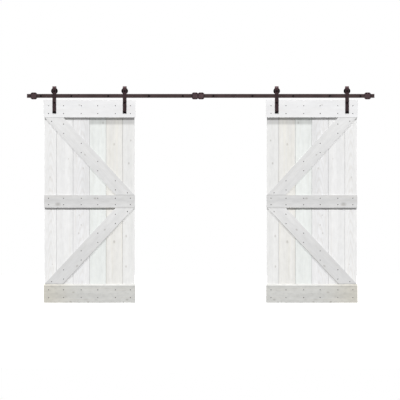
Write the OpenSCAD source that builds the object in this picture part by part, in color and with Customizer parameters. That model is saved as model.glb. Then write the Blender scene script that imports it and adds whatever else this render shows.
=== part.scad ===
// Double sliding barn door: two K-braced board doors hung from one flat wall track.
//
// Millimetres. +X runs along the track to the right, +Y goes into the wall, +Z is up.
// The origin is on the wall's face, at the middle of the track's length and height.
// Everything on the left door is drawn about that door's own middle, and the right
// door is its mirror image. Boards and hangers are numbered from the outer side.

/* [Track] */
// Length of the whole track
track_l = 3658; // [3040:1:4400]
// Height of the flat rail
rail_h = 41; // [34:1:50]
// Thickness of the flat rail
rail_t = 6; // [5:0.1:7.5]
// Place of the joint between the two rails, from the track's middle
joint_x = -28; // [-150:1:150]
// Distance from the wall to the rail's back, held by the wall spacers
wall_gap = 30; // [25:1:60]
// Length of the splice plate behind the joint
splice_l = 150; // [125:1:180]
// How far the splice plate stops short of the rail's upper and lower edges
splice_inset = 3.5; // [2.5:0.5:8]
// Thickness of the splice plate
splice_t = 6; // [4:0.5:7]
// Distances of the four splice screws from the joint, as an inner and an outer pair
splice_screw_x = [18, 46];

/* [Wall fixings] */
// Distances of the wall bolts from each end of the track
lag_from_end = [147, 468, 856, 1284];
// Distance of the wall bolts on each side of the rail joint
lag_from_joint = 161; // [100:1:200]
// Diameter of the wall bolt's plain shank
lag_d = 8; // [6:0.5:10]
// Diameter over the wall bolt's threads, which start at the wall's face
lag_thread_d = 7.6; // [5.5:0.1:9.5]
// How far the wall bolts reach into the wall
lag_reach = 50; // [30:1:80]
// Outer diameter of the wall spacers
spacer_d = 22; // [16:1:26]

/* [Doors] */
// Height of a door
door_h = 2134; // [1775:1:2600]
// Width of a door over its top and bottom rails
door_w = 965; // [800:1:1160]
// Distance from the track's end to the outer edge of the open door
side_gap = 176.5; // [25:0.5:260]
// Gap between the rail's underside and the door's top
door_gap = 23.5; // [20:0.5:40]
// How far the boards stop short of the top and bottom rails at each side
board_inset = 10; // [0:1:20]
// How far the middle rail stops short of the top and bottom rails at each side
mid_rail_inset = 6; // [0:1:15]
// Number of boards across a door
board_count = 6; // [5:1:6]
// Width of the two outer boards
edge_board_w = 125; // [104:1:160]
// Thickness of the boards
board_t = 16; // [14:0.5:20]
// Gap between neighbouring boards
board_gap = 0.5; // [0.3:0.1:2]
// Depth and half width of the V groove at each seam
seam_v = 2.5; // [1:0.5:4]
// Length of a board's tongue
tongue_l = 7; // [5:0.5:9]
// Thickness of a board's tongue
tongue_t = 5; // [4:0.5:6]

/* [Rails and braces] */
// Thickness of the rails and braces nailed on the boards
batten_t = 19; // [16:0.5:23]
// Height of the top rail
top_rail_h = 183; // [165:1:220]
// Height of the middle rail
mid_rail_h = 133; // [100:1:180]
// Height of the bottom rail
bottom_rail_h = 199; // [150:1:240]
// Height of the bevel on the bottom rail's upper front edge
bevel_h = 20; // [5:1:30]
// Depth of that bevel
bevel_depth = 8; // [2:0.5:12]
// Width of the brace boards
brace_w = 145; // [120:1:180]

/* [Nails] */
// Diameter of a nail's shank
nail_d = 3; // [2:0.1:4]
// Diameter of a nail's head
nail_head_d = 10; // [6:0.5:12]
// Thickness of a nail's head
nail_head_t = 1; // [0.5:0.1:2]
// Length of a nail under its head
nail_l = 32; // [28:1:34]
// Distance of the outer nails from the boards' side
nail_edge = 42; // [25:1:60]
// How far the nails next to them sit outwards of their board's middle
nail_out = 12; // [-20:1:30]
// Depths of the top rail's two nail rows below the door's top
top_nail_rows = [60, 142];
// Distance of the middle rail's nail rows from its edges
mid_nail_in = 33; // [20:1:45]
// Heights of the bottom rail's two nail rows above the door's bottom
bottom_nail_rows = [56, 137];
// Height of a brace's nail pairs above and below its centre line
brace_nail_z = 48.5; // [30:0.5:60]
// How far all of a brace's nails sit below its middle line
brace_nail_drop = 8; // [0:1:15]
// Place of a brace's end nail, in from the boards' side and from the rail
brace_end_nail = [74, 32];

/* [Hangers] */
// Distance from the edge board's inner seam to the middle of the hanger on that board
hanger_from_seam = 22.5; // [18:0.5:45]
// Width of the hanger strap
strap_w = 40; // [34:1:48]
// Thickness of the hanger strap
strap_t = 6; // [4:0.5:7]
// Length of the strap below the door's top
strap_lap = 141; // [130:1:160]
// Distances of the two strap bolts below the door's top
strap_bolt_drop = [27, 127];
// Gap between the wheel's rim and the strap's bend above it
wheel_top_gap = 3.7; // [2:0.1:12]
// Length of the strap's back leg below the axle
back_leg_l = 18; // [12:1:20]
// Diameter of the hanger bolts
bolt_d = 10; // [8:0.5:11]
// Width across the flats of their heads and nuts
bolt_flats = 16; // [14:0.5:18]
// Height of a bolt head
bolt_head_t = 6.4; // [4:0.1:8]
// Height of a thin nut
nut_t = 5; // [3:0.5:5.5]

/* [Wheels] */
// Outer diameter of a wheel
wheel_d = 70; // [58:1:84]
// Width of a wheel
wheel_w = 22; // [18:0.5:27]
// Depth of the wheel's groove, which hangs over the rail
groove_depth = 4; // [3:0.5:6]
// Outer diameter of the ball bearing
bearing_d = 26; // [22:0.5:32]
// Width of the ball bearing
bearing_w = 8; // [6:0.5:10]
// Outer diameter of the sleeves between bearing and strap
axle_sleeve_d = 14; // [13:0.5:18]

/* [Stops] */
// Distance of an end stop's middle from the track's end
stop_from_end = 72; // [40:1:95]
// Width of a stop's plates
stop_w = 52; // [43:1:63]
// How far a stop reaches above and below the rail
stop_over = 15.5; // [14:0.5:18]
// Thickness of a stop's front plate
stop_plate_t = 8; // [5:0.5:9]
// Thickness of a stop's block behind the rail
stop_back_t = 10; // [8:0.5:12]
// Thickness of the rubber pads on a stop's sides
pad_t = 5.75; // [4:0.25:8]
// How far the rubber pads reach above and below the rail
pad_over = 9.5; // [8:0.5:13]
// Distance of a stop's bolts from its middle, sideways
stop_bolt_x = 13; // [9:0.5:16]
// Distance of a stop's bolts beyond the rail's edge
stop_bolt_over = 6.5; // [5:0.5:9]
// Diameter of the stop bolts and splice screws
screw_d = 6; // [4:0.5:6.5]

/* [Anti-jump discs] */
// Diameter of a disc on the door's top
disc_d = 34; // [28:1:38]
// Thickness of a disc
disc_t = 6; // [4:0.5:8]
// Gap between a disc and the rail above it
disc_gap = 3.5; // [2:0.5:6]
// Diameter of the screw that holds a disc
disc_screw_d = 4; // [3:0.5:5]
// How far that screw bites into the board
disc_screw_bite = 16; // [10:1:17]

/* [Clearances] */
// Radial clearance of a bolt or screw in its hole
hole_gap = 0.3; // [0.1:0.1:0.6]
// Radial running clearance of an axle in its bearing
axle_gap = 0.05; // [0.02:0.01:0.1]
// Gap between pieces that move past each other at a touch
run_gap = 0.3; // [0.2:0.1:0.5]
// Gap between the wheel's sides and the strap
wheel_side_gap = 3; // [2.5:0.5:5]
// Gap between the groove's sides and the rail
groove_side_gap = 1; // [0.5:0.1:2]
// Gap around what a stop's slot or a tongue fits into
slot_gap = 0.2; // [0.1:0.1:0.5]

/* [Hidden] */
$fn = 48;
eps = 0.1;
door_sides = ["left", "right"];
hanger_places = ["outer", "inner"];

// depths, from the wall towards the front
rail_back_y = -wall_gap;
rail_front_y = rail_back_y - rail_t;
rail_mid_y = rail_back_y - rail_t/2;
front_leg_y = rail_mid_y - wheel_w/2 - wheel_side_gap;
back_leg_y = rail_mid_y + wheel_w/2 + wheel_side_gap;
strap_front_y = front_leg_y - strap_t;
board_front_y = front_leg_y + batten_t;
board_back_y = board_front_y + board_t;

// track
track_end_x = track_l/2;
splice_back_y = rail_back_y + splice_t;
splice_h = rail_h - 2*splice_inset;
stop_back_y = rail_back_y + stop_back_t;
stop_half_w = stop_w/2 + pad_t;
stop_h = rail_h + 2*stop_over;
stop_bolt_z = rail_h/2 + stop_bolt_over;
pad_h = rail_h + 2*pad_over;
lag_flange_d = 20;
lag_flange_t = 1.8;
lag_flats = 13;
lag_head_t = 5.5;
lag_tip_l = 6;
lag_x = concat(
    [for (s = lag_from_end) s - track_end_x],
    [joint_x - lag_from_joint, joint_x + lag_from_joint],
    [for (s = lag_from_end) track_end_x - s]
);
stop_chamfer = 6;
stop_bolt_head_d = 10;
stop_bolt_head_t = 4;
stop_socket_flats = 4;
stop_socket_depth = 2.2;
end_stop_x = [stop_from_end - track_end_x, track_end_x - stop_from_end];
mid_stop_x = [joint_x - stop_half_w - slot_gap, joint_x + stop_half_w + slot_gap];
countersink_d = screw_d*2;

// doors
door_x = track_end_x - side_gap - door_w/2;
door_top_z = -rail_h/2 - door_gap;
door_bottom_z = door_top_z - door_h;
boards_w = door_w - 2*board_inset;
inner_board_w = (boards_w - 2*edge_board_w)/(board_count - 2);
mid_rail_top_z = door_top_z - door_h/2 + mid_rail_h/2;
mid_rail_bottom_z = mid_rail_top_z - mid_rail_h;
top_rail_bottom_z = door_top_z - top_rail_h;
bottom_rail_top_z = door_bottom_z + bottom_rail_h;

// hangers and wheels
hanger_x = boards_w/2 - edge_board_w + hanger_from_seam;
tread_r = wheel_d/2 - groove_depth;
axle_z = rail_h/2 + tread_r + run_gap;
bend_r = wheel_w/2 + wheel_side_gap;
bend_z = axle_z + wheel_d/2 + wheel_top_gap - sqrt(pow(bend_r, 2) - pow(wheel_w/2, 2));
strap_bottom_z = door_top_z - strap_lap;
strap_corner = 2;
bearing_shoulder = 2;
hub_recess = 2;
rim_w = 8;
rim_chamfer = 1;
groove_taper = 1;
axle_nut_y = back_leg_y + strap_t;
thread_tail = 1;

// anti-jump discs
disc_y = board_back_y - board_t/2;
disc_top_z = -rail_h/2 - disc_gap;
disc_boss_d = 18;
disc_screw_head = [9, 3];

// ---- helpers ----

// A round bar along Y, from one depth to another
module rod(y0, y1, d) {
    translate([0, y0, 0]) rotate([-90, 0, 0]) cylinder(h = y1 - y0, d = d);
}

// A hexagon along Y, by its width across the flats
module hex(y0, y1, flats) {
    translate([0, y0, 0]) rotate([-90, 0, 0]) cylinder(h = y1 - y0, d = flats/cos(30), $fn = 6);
}

// A block given by its lowest and highest corners
module block(low, high) {
    translate(low) cube(high - low);
}

// A flat outline in X and Z, from one depth to another
module slab(y0, y1, outline) {
    translate([0, y1, 0]) rotate([90, 0, 0]) linear_extrude(y1 - y0) polygon(outline);
}

// A flat outline in Y and Z, centred on X
module bar(w, outline) {
    rotate([90, 0, 90]) linear_extrude(w, center = true) polygon(outline);
}

// Places the left door's pieces, or their mirror image on the right
module on_door(side) {
    if (side == "left") translate([-door_x, 0, 0]) children();
    else mirror([1, 0, 0]) translate([-door_x, 0, 0]) children();
}

// Places a piece at one hanger of the left door
module at_hanger(place) {
    translate([place == "outer" ? -hanger_x : hanger_x, 0, 0]) children();
}

// Places a piece at both hangers of the left door
module at_hangers() {
    for (place = hanger_places) at_hanger(place) children();
}

// ---- track ----

module rail(x0, x1) {
    color([0.25, 0.2, 0.2]) difference() {
        block([x0, rail_front_y, -rail_h/2], [x1, rail_back_y, rail_h/2]);
        for (x = lag_x) if (x > x0 && x < x1)
            translate([x, 0, 0]) rod(rail_front_y - eps, rail_back_y + eps, lag_d + 2*hole_gap);
        at_splice_screws(x0, x1) splice_hole();
    }
}

module rail_left() rail(-track_end_x, joint_x);

module rail_right() rail(joint_x, track_end_x);

// Places a piece at each splice screw that lies between two places along the track
module at_splice_screws(x0, x1) {
    for (s = [-1, 1], d = splice_screw_x)
        if (joint_x + s*d > x0 && joint_x + s*d < x1) translate([joint_x + s*d, 0, 0]) children();
}

// The countersunk head's cone, wider by a gap, with its face at the rail's front
module countersink(gap) {
    translate([0, rail_front_y, 0]) rotate([-90, 0, 0])
        cylinder(h = (countersink_d - screw_d)/2, d1 = countersink_d + 2*gap, d2 = screw_d + 2*gap);
}

module splice_hole() {
    rod(rail_front_y - eps, splice_back_y + eps, screw_d + 2*hole_gap);
    countersink(hole_gap);
}

module splice_plate() {
    color([0.2, 0.17, 0.17]) difference() {
        block([joint_x - splice_l/2, rail_back_y, -splice_h/2],
              [joint_x + splice_l/2, splice_back_y, splice_h/2]);
        at_splice_screws(-track_end_x, track_end_x)
            rod(rail_back_y - eps, splice_back_y + eps, screw_d + 2*slot_gap);
    }
}

module splice_screws() {
    color([0.15, 0.13, 0.13]) at_splice_screws(-track_end_x, track_end_x) {
        countersink(0);
        rod(rail_front_y, splice_back_y, screw_d);
    }
}

module wall_spacers() {
    color([0.15, 0.13, 0.13]) for (x = lag_x) translate([x, 0, 0]) difference() {
        rod(rail_back_y, 0, spacer_d);
        rod(rail_back_y - eps, eps, lag_d + 2*hole_gap);
    }
}

module lag_bolt() {
    rod(rail_front_y - lag_flange_t, rail_front_y, lag_flange_d);
    hex(rail_front_y - lag_flange_t - lag_head_t, rail_front_y - lag_flange_t, lag_flats);
    rod(rail_front_y - lag_flange_t, 0, lag_d);
    rod(0, lag_reach - lag_tip_l, lag_thread_d);
    translate([0, lag_reach - lag_tip_l, 0]) rotate([-90, 0, 0])
        cylinder(h = lag_tip_l, d1 = lag_thread_d, d2 = lag_thread_d/4);
}

module lag_bolts() {
    color([0.12, 0.1, 0.1]) for (x = lag_x) translate([x, 0, 0]) lag_bolt();
}

// ---- stops ----

// A stop's outline with its corners cut off
function stop_outline() = [
    for (s = [[1, 1, 0], [1, 1, 1], [-1, 1, 1], [-1, 1, 0], [-1, -1, 0], [-1, -1, 1], [1, -1, 1], [1, -1, 0]])
        [s[0]*(stop_w/2 - s[2]*stop_chamfer), s[1]*(stop_h/2 - (1 - s[2])*stop_chamfer)]
];

// Places a piece at the four bolts of a stop
module at_stop_bolts() {
    for (sx = [-1, 1], sz = [-1, 1]) translate([sx*stop_bolt_x, 0, sz*stop_bolt_z]) children();
}

module stop_plate() {
    difference() {
        slab(rail_front_y - stop_plate_t, rail_front_y, stop_outline());
        at_stop_bolts() rod(rail_front_y - stop_plate_t - eps, rail_front_y + eps, screw_d + 2*hole_gap);
    }
}

// The room that the rail, and the splice plate behind it, take through a stop
module rail_slot(w, with_splice) {
    block([-w/2, rail_front_y - eps, -rail_h/2 - slot_gap], [w/2, rail_back_y, rail_h/2 + slot_gap]);
    if (with_splice)
        block([-w/2, rail_back_y - eps, -splice_h/2 - slot_gap],
              [w/2, splice_back_y, splice_h/2 + slot_gap]);
}

module stop_block(with_splice) {
    difference() {
        slab(rail_front_y, stop_back_y, stop_outline());
        rail_slot(stop_w + 2*eps, with_splice);
        at_stop_bolts() rod(rail_front_y - eps, stop_back_y + eps, screw_d + 2*slot_gap);
    }
}

// One rubber pad, open at the back so that it goes on over the rail
module stop_pad() {
    difference() {
        block([-pad_t/2, rail_front_y - stop_plate_t, -pad_h/2], [pad_t/2, rail_mid_y + wheel_w/2, pad_h/2]);
        block([-pad_t/2 - eps, rail_front_y, -rail_h/2 - slot_gap],
              [pad_t/2 + eps, 0, rail_h/2 + slot_gap]);
    }
}

module stop_bolt() {
    head_front_y = rail_front_y - stop_plate_t - stop_bolt_head_t;
    difference() {
        rod(head_front_y, rail_front_y - stop_plate_t, stop_bolt_head_d);
        hex(head_front_y - eps, head_front_y + stop_socket_depth, stop_socket_flats);
    }
    rod(rail_front_y - stop_plate_t, stop_back_y, screw_d);
}

module at_stops(places) {
    for (x = places) translate([x, 0, 0]) children();
}

module end_stop_plates() color([0.32, 0.25, 0.27]) at_stops(end_stop_x) stop_plate();

module mid_stop_plates() color([0.32, 0.25, 0.27]) at_stops(mid_stop_x) stop_plate();

module end_stop_blocks() color([0.25, 0.2, 0.2]) at_stops(end_stop_x) stop_block(false);

module mid_stop_blocks() color([0.25, 0.2, 0.2]) at_stops(mid_stop_x) stop_block(true);

module stop_pads() {
    color([0.1, 0.1, 0.1]) at_stops(concat(end_stop_x, mid_stop_x))
        for (s = [-1, 1]) translate([s*(stop_w + pad_t)/2, 0, 0]) stop_pad();
}

module stop_bolts() {
    color([0.12, 0.1, 0.1]) at_stops(concat(end_stop_x, mid_stop_x)) at_stop_bolts() stop_bolt();
}

// ---- boards ----

// Left edge of board i, and right edge of the board before it
function board_x(i) =
    i <= 1 ? -boards_w/2 :
    i > board_count ? boards_w/2 :
    -boards_w/2 + edge_board_w + (i - 2)*inner_board_w;

// The V cut on a front edge at a seam
module seam_cut(x) {
    translate([x, board_front_y]) rotate(45) square(seam_v*sqrt(2), center = true);
}

module board_outline(i) {
    x0 = board_x(i) + (i > 1 ? board_gap/2 : 0);
    x1 = board_x(i + 1) - (i < board_count ? board_gap/2 : 0);
    tongue_y = (board_front_y + board_back_y - tongue_t)/2;
    difference() {
        union() {
            translate([x0, board_front_y]) square([x1 - x0, board_t]);
            if (i < board_count) translate([x1 - eps, tongue_y]) square([tongue_l + eps, tongue_t]);
        }
        if (i > 1) {
            translate([x0 - eps, tongue_y - slot_gap])
                square([tongue_l - board_gap + 2*slot_gap + eps, tongue_t + 2*slot_gap]);
            seam_cut(x0);
        }
        if (i < board_count) seam_cut(x1);
    }
}

// The holes that the strap bolts take through a board and the top rail
module strap_bolt_holes() {
    at_hangers() for (drop = strap_bolt_drop)
        translate([0, 0, door_top_z - drop])
            rod(strap_front_y - eps, board_back_y + eps, bolt_d + 2*hole_gap);
}

module board(side, i) {
    color([0.93, 0.93, 0.92]) on_door(side) difference() {
        translate([0, 0, door_bottom_z]) linear_extrude(door_h) board_outline(i);
        strap_bolt_holes();
    }
}

// ---- rails and braces ----

module top_rail(side) {
    color([0.93, 0.93, 0.93]) on_door(side) difference() {
        block([-door_w/2, front_leg_y, top_rail_bottom_z], [door_w/2, board_front_y, door_top_z]);
        strap_bolt_holes();
    }
}

module mid_rail(side) {
    half = door_w/2 - mid_rail_inset;
    color([0.85, 0.85, 0.84]) on_door(side)
        block([-half, front_leg_y, mid_rail_bottom_z], [half, board_front_y, mid_rail_top_z]);
}

module bottom_rail(side) {
    color([0.8, 0.79, 0.77]) on_door(side) bar(door_w, [
        [front_leg_y, door_bottom_z],
        [board_front_y, door_bottom_z],
        [board_front_y, bottom_rail_top_z],
        [front_leg_y + bevel_depth, bottom_rail_top_z],
        [front_leg_y, bottom_rail_top_z - bevel_h]
    ]);
}

// Angle of a brace that reaches from corner to corner of a panel of height h
function brace_angle(h) = atan2(h, boards_w) + asin(brace_w/norm([h, boards_w]));

// Length of the level cut at a brace's ends
function brace_cut(h) = brace_w/sin(brace_angle(h));

// A brace in the panel between two heights: it climbs outwards when rise is -1, inwards when rise is 1
module brace(z0, z1, rise) {
    half = boards_w/2;
    cut = brace_cut(z1 - z0);
    slab(front_leg_y, board_front_y, [
        [-rise*half, z0],
        [-rise*(half - cut), z0],
        [rise*half, z1],
        [rise*(half - cut), z1]
    ]);
}

module upper_brace(side) {
    color([0.88, 0.88, 0.87]) on_door(side) brace(mid_rail_top_z, top_rail_bottom_z, -1);
}

module lower_brace(side) {
    color([0.86, 0.86, 0.85]) on_door(side) brace(bottom_rail_top_z, mid_rail_bottom_z, 1);
}

// ---- nails ----

module nail(x, z) {
    translate([x, 0, z]) {
        rod(front_leg_y - nail_head_t, front_leg_y, nail_head_d);
        rod(front_leg_y, front_leg_y + nail_l, nail_d);
    }
}

// Places of the nails in the inner boards: in the middle, or moved out next to an outer board
inner_nail_x = [
    for (i = [2:board_count - 1])
        (board_x(i) + board_x(i + 1))/2 + (i == 2 ? -nail_out : i == board_count - 1 ? nail_out : 0)
];

// A row of nails across a rail
module nail_row(z) {
    edge = boards_w/2 - nail_edge;
    for (x = concat([-edge], inner_nail_x, [edge])) nail(x, z);
}

// A brace's nails: a pair on each inner board, and one at each end
module brace_nails(z0, z1, rise) {
    mid_z = (z0 + z1)/2 - brace_nail_drop;
    slope = (z1 - z0)/(boards_w - brace_cut(z1 - z0));
    end_x = boards_w/2 - brace_end_nail[0];
    for (x = inner_nail_x, s = [-1, 1]) nail(x, mid_z + rise*slope*x + s*brace_nail_z);
    nail(-rise*end_x, z0 + brace_end_nail[1] - brace_nail_drop);
    nail(rise*end_x, z1 - brace_end_nail[1] - brace_nail_drop);
}

module nails(side) {
    color([0.35, 0.35, 0.36]) on_door(side) {
        for (drop = top_nail_rows) nail_row(door_top_z - drop);
        nail_row(mid_rail_top_z - mid_nail_in);
        nail_row(mid_rail_bottom_z + mid_nail_in);
        for (rise = bottom_nail_rows) nail_row(door_bottom_z + rise);
        brace_nails(mid_rail_top_z, top_rail_bottom_z, -1);
        brace_nails(bottom_rail_top_z, mid_rail_bottom_z, 1);
    }
}

// ---- hangers ----

// The strap's side view: a bend over the wheel, a long front leg and a short back leg
module strap_side() {
    difference() {
        union() {
            translate([rail_mid_y, bend_z]) circle(r = bend_r + strap_t);
            translate([strap_front_y, strap_bottom_z])
                square([2*(bend_r + strap_t), bend_z - strap_bottom_z]);
        }
        translate([rail_mid_y, bend_z]) circle(r = bend_r);
        translate([front_leg_y, strap_bottom_z - eps])
            square([2*bend_r, bend_z - strap_bottom_z + eps]);
        translate([back_leg_y - eps, strap_bottom_z - eps])
            square([strap_t + 2*eps, axle_z - back_leg_l - strap_bottom_z + eps]);
    }
}

// Cuts the lower corners off the strap's front leg
module strap_corners() {
    for (s = [-1, 1]) translate([s*strap_w/2, (strap_front_y + front_leg_y)/2, strap_bottom_z])
        rotate([0, 45, 0]) cube([strap_corner*sqrt(2), strap_t + 2*eps, strap_corner*sqrt(2)], center = true);
}

module strap(side, place) {
    color([0.2, 0.15, 0.16]) on_door(side) at_hanger(place) difference() {
        rotate([90, 0, 90]) linear_extrude(strap_w, center = true) strap_side();
        strap_corners();
        translate([0, 0, axle_z]) rod(strap_front_y - eps, axle_nut_y + eps, bolt_d + 2*hole_gap);
        for (drop = strap_bolt_drop) translate([0, 0, door_top_z - drop])
            rod(strap_front_y - eps, front_leg_y + eps, bolt_d + 2*hole_gap);
    }
}

// A hex bolt whose head lies on the strap's front
module hanger_bolt(nut_y) {
    hex(strap_front_y - bolt_head_t, strap_front_y, bolt_flats);
    rod(strap_front_y, nut_y + nut_t + thread_tail, bolt_d);
}

module hanger_nut(nut_y) {
    difference() {
        hex(nut_y, nut_y + nut_t, bolt_flats);
        rod(nut_y - eps, nut_y + nut_t + eps, bolt_d + 2*slot_gap);
    }
}

module at_strap_bolts() {
    at_hangers() for (drop = strap_bolt_drop) translate([0, 0, door_top_z - drop]) children();
}

module at_axles() {
    at_hangers() translate([0, 0, axle_z]) children();
}

module strap_bolts(side) color([0.1, 0.08, 0.08]) on_door(side) at_strap_bolts() hanger_bolt(board_back_y);

module axle_bolts(side) color([0.1, 0.08, 0.08]) on_door(side) at_axles() hanger_bolt(axle_nut_y);

module hanger_nuts(side) {
    color([0.1, 0.08, 0.08]) on_door(side) {
        at_strap_bolts() hanger_nut(board_back_y);
        at_axles() hanger_nut(axle_nut_y);
    }
}

module axle_sleeve(y0, y1) {
    difference() {
        rod(y0, y1, axle_sleeve_d);
        rod(y0 - eps, y1 + eps, bolt_d + 2*slot_gap);
    }
}

// The sleeves that keep the wheel off the strap, one at each side of its bearing
module axle_sleeves(side) {
    color([0.5, 0.5, 0.52]) on_door(side) at_axles() {
        axle_sleeve(front_leg_y, rail_mid_y - bearing_w/2 - run_gap);
        axle_sleeve(rail_mid_y + bearing_w/2 + run_gap, back_leg_y);
    }
}

// ---- wheels ----

// Half of the wheel's section: radius, then place along the axle
function wheel_section() = [
    [bearing_d/2 + axle_gap, -wheel_w/2 + hub_recess],
    [wheel_d/2 - rim_w, -wheel_w/2 + hub_recess],
    [wheel_d/2 - rim_w, -wheel_w/2],
    [wheel_d/2 - rim_chamfer, -wheel_w/2],
    [wheel_d/2, -wheel_w/2 + rim_chamfer],
    [wheel_d/2, -rail_t/2 - groove_side_gap - groove_taper],
    [tread_r, -rail_t/2 - groove_side_gap],
    [tread_r, rail_t/2 + groove_side_gap],
    [wheel_d/2, rail_t/2 + groove_side_gap + groove_taper],
    [wheel_d/2, wheel_w/2 - rim_chamfer],
    [wheel_d/2 - rim_chamfer, wheel_w/2],
    [wheel_d/2 - rim_w, wheel_w/2],
    [wheel_d/2 - rim_w, wheel_w/2 - hub_recess],
    [bearing_d/2 - bearing_shoulder, wheel_w/2 - hub_recess],
    [bearing_d/2 - bearing_shoulder, bearing_w/2],
    [bearing_d/2 + axle_gap, bearing_w/2]
];

// Turns a section about an axle that runs along Y
module turned(section) {
    translate([0, rail_mid_y, axle_z]) rotate([-90, 0, 0]) rotate_extrude() polygon(section);
}

module wheel(side, place) {
    color([0.12, 0.1, 0.1]) on_door(side) at_hanger(place) turned(wheel_section());
}

// A sealed ball bearing, drawn as one ring with its seals set back
module bearing(side, place) {
    ring = 2.5;
    seal = 0.5;
    bore_r = bolt_d/2 + axle_gap;
    outer_r = bearing_d/2;
    color([0.6, 0.6, 0.62]) on_door(side) at_hanger(place) turned([
        [bore_r, -bearing_w/2],
        [bore_r + ring, -bearing_w/2],
        [bore_r + ring, -bearing_w/2 + seal],
        [outer_r - ring, -bearing_w/2 + seal],
        [outer_r - ring, -bearing_w/2],
        [outer_r, -bearing_w/2],
        [outer_r, bearing_w/2],
        [outer_r - ring, bearing_w/2],
        [outer_r - ring, bearing_w/2 - seal],
        [bore_r + ring, bearing_w/2 - seal],
        [bore_r + ring, bearing_w/2],
        [bore_r, bearing_w/2]
    ]);
}

// ---- anti-jump discs ----

// A disc on a boss, screwed to the door's top, that catches under the rail if the door is lifted
module discs(side) {
    color([0.08, 0.08, 0.08]) on_door(side) at_hangers() translate([0, disc_y, 0]) difference() {
        union() {
            translate([0, 0, disc_top_z - disc_t]) cylinder(h = disc_t, d = disc_d);
            translate([0, 0, door_top_z]) cylinder(h = disc_top_z - disc_t - door_top_z, d = disc_boss_d);
        }
        translate([0, 0, door_top_z - eps])
            cylinder(h = disc_top_z - door_top_z + 2*eps, d = disc_screw_d + 2*hole_gap);
        translate([0, 0, disc_top_z - disc_screw_head[1]])
            cylinder(h = disc_screw_head[1] + eps, d = disc_screw_head[0] + 2*hole_gap);
    }
}

module disc_screws(side) {
    color([0.4, 0.4, 0.42]) on_door(side) at_hangers() translate([0, disc_y, 0]) {
        translate([0, 0, disc_top_z - disc_screw_head[1]])
            cylinder(h = disc_screw_head[1], d = disc_screw_head[0]);
        translate([0, 0, door_top_z - disc_screw_bite])
            cylinder(h = disc_top_z - disc_screw_head[1] - door_top_z + disc_screw_bite, d = disc_screw_d);
    }
}

// ---- nodes ----

rail_left();
rail_right();
splice_plate();
splice_screws();
wall_spacers();
lag_bolts();
end_stop_plates();
mid_stop_plates();
end_stop_blocks();
mid_stop_blocks();
stop_pads();
stop_bolts();
for (s = door_sides) {
    for (i = [1:board_count]) board(s, i);
    top_rail(s);
    mid_rail(s);
    bottom_rail(s);
    upper_brace(s);
    lower_brace(s);
    nails(s);
    for (h = hanger_places) strap(s, h);
    strap_bolts(s);
    axle_bolts(s);
    axle_sleeves(s);
    hanger_nuts(s);
    discs(s);
    disc_screws(s);
    for (h = hanger_places) wheel(s, h);
    for (h = hanger_places) bearing(s, h);
}
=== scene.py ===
# %% [markdown]
# # A pair of sliding barn doors on one track
# Two board doors hang from a flat steel track by strap hangers with grooved wheels.
# Each door is six tongued boards, held by three cross rails and two braces that make a K.
# The whole pair was drawn to size first, as a fixed frame. This lesson gives it its looks.
# The frame comes in as ordinary Blender meshes in metres: X runs along the track, Y goes
# into the wall and Z is up. Nothing in the frame is moved: a shape that is already right
# keeps its mesh, and a shape that deserves more detail gets a new piece in its place.

import math
import random
from collections import namedtuple

import bmesh
import bpy
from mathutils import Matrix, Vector


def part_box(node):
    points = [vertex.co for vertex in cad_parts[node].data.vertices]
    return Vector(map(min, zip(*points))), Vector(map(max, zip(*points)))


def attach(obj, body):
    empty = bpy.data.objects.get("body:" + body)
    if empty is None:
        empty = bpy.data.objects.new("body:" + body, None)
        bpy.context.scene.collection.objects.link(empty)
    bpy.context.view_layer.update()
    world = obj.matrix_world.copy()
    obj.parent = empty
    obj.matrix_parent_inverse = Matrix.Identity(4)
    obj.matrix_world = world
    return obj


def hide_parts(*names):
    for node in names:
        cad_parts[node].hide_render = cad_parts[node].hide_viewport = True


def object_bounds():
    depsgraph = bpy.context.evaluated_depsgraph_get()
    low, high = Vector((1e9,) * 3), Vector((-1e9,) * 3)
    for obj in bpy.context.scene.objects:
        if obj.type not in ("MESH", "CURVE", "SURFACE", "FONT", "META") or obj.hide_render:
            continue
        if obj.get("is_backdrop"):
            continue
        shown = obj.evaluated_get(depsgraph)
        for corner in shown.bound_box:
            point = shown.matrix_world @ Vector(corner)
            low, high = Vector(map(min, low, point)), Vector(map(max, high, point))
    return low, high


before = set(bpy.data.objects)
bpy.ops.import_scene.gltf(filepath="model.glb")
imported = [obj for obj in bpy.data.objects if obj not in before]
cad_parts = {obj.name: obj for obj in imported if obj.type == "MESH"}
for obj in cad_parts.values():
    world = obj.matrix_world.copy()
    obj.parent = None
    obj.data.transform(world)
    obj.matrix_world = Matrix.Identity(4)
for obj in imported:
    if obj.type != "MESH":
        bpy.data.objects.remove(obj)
drawn_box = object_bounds()
size = drawn_box[1] - drawn_box[0]
print("pieces drawn:", len(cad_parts))
print("width, depth and height in metres:", [round(side, 3) for side in size])

# %% [markdown]
# ## The doors and their names
# The left door and the right door are mirror images, and each has an outer and an inner
# hanger. Loops over these few names save writing every piece twice.

# %% Names used in every loop
MM = 0.001
DOORS = ("left", "right")
HANGERS = ("outer", "inner")
rail_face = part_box("left_top_rail")[0].y
board_face, board_back = (corner.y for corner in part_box("left_board_1"))
print("boards are", round((board_back - board_face) / MM, 1), "mm thick")
print("cross rails stand proud by", round((board_face - rail_face) / MM, 1), "mm")

# %% [markdown]
# ## The camera
# The doors are seen square on, with no vanishing lines, as a catalogue shows them. An
# orthographic camera would do that, but a very long lens from far away does it too, and
# it still gives natural views when it is moved round the doors. The distance follows
# from the lens: the view's width over the distance is the sensor's width over the lens.

# %% Set up the camera
LENS = 200  # millimetres, as is the sensor's width
SENSOR = 36
VIEW_SHARE = 1.1504  # the view's width over the track's
VIEW_SIDE = -0.0074  # metres that the view's middle lies off the doors' middle
VIEW_DOWN = -0.0577
FARTHEST = 200  # metres that the camera sees

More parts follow.
